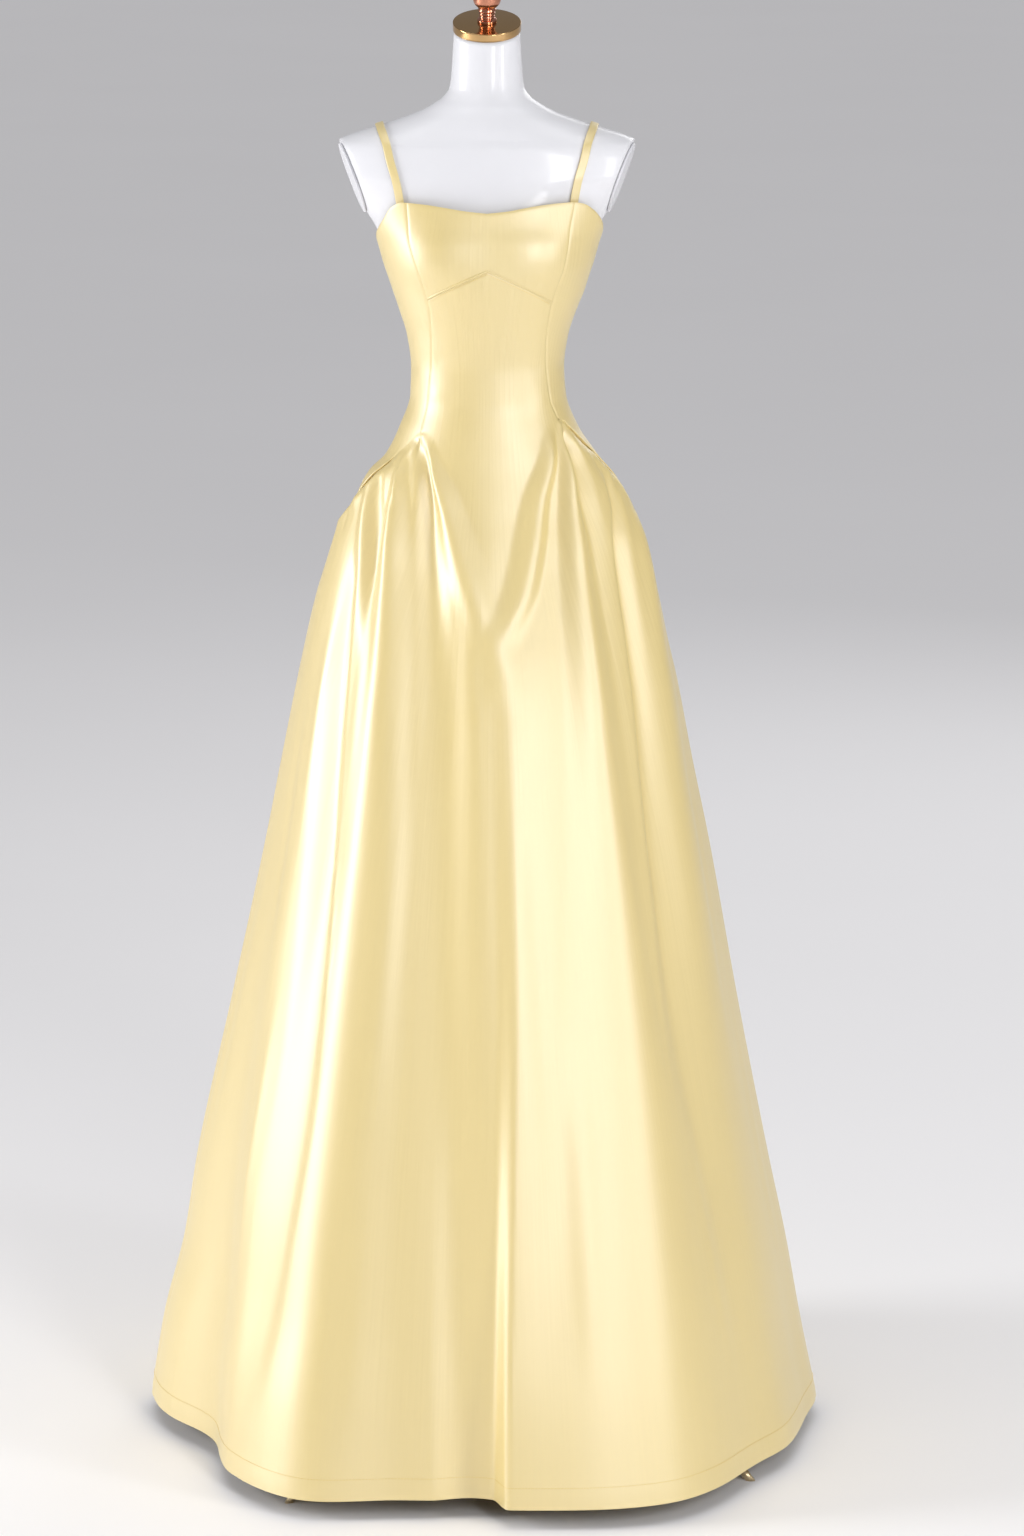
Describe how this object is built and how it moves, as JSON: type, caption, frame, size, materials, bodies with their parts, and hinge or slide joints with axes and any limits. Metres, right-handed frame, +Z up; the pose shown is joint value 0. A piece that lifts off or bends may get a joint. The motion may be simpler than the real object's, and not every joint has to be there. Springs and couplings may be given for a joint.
{
  "type": "prom dress on a dress form",
  "caption": "Satin ball gown with thin shoulder straps, fitted bodice and full pleated skirt to the floor, on a limbless dress form with a low stand.",
  "frame": {"origin": "on the floor under the middle of the stand's pole", "axes": "+Z up, -Y out of the front of the dress, +X to the right as seen from in front"},
  "size_m": [0.8356, 0.8535, 1.824],
  "materials": {
    "satin": "butter-yellow duchess satin, close weave with a soft sheen",
    "form_cover": "smooth white moulded form, satin gloss",
    "form_arm_cover": "pale grey smooth plate",
    "cap_gold": "polished gold",
    "finial_copper": "polished rose copper",
    "stand_metal": "warm champagne-gold lacquered metal"
  },
  "bodies": {
    "root": {"bust_panel": "satin", "front_panel": "satin", "side_front_left": "satin", "side_front_right": "satin", "side_back_left": "satin", "side_back_right": "satin", "back_left": "satin", "back_right": "satin", "strap_left": "satin", "strap_right": "satin", "form_torso": "form_cover", "form_arm_plate_left": "form_arm_cover", "form_arm_plate_right": "form_arm_cover", "form_neck_cap": "cap_gold", "form_finial": "finial_copper", "stand_flange": "stand_metal", "stand_pole": "stand_metal", "stand_hub": "stand_metal", "stand_leg_1": "stand_metal", "stand_leg_2": "stand_metal", "stand_leg_3": "stand_metal", "stand_leg_4": "stand_metal"}
  },
  "joints": []
}
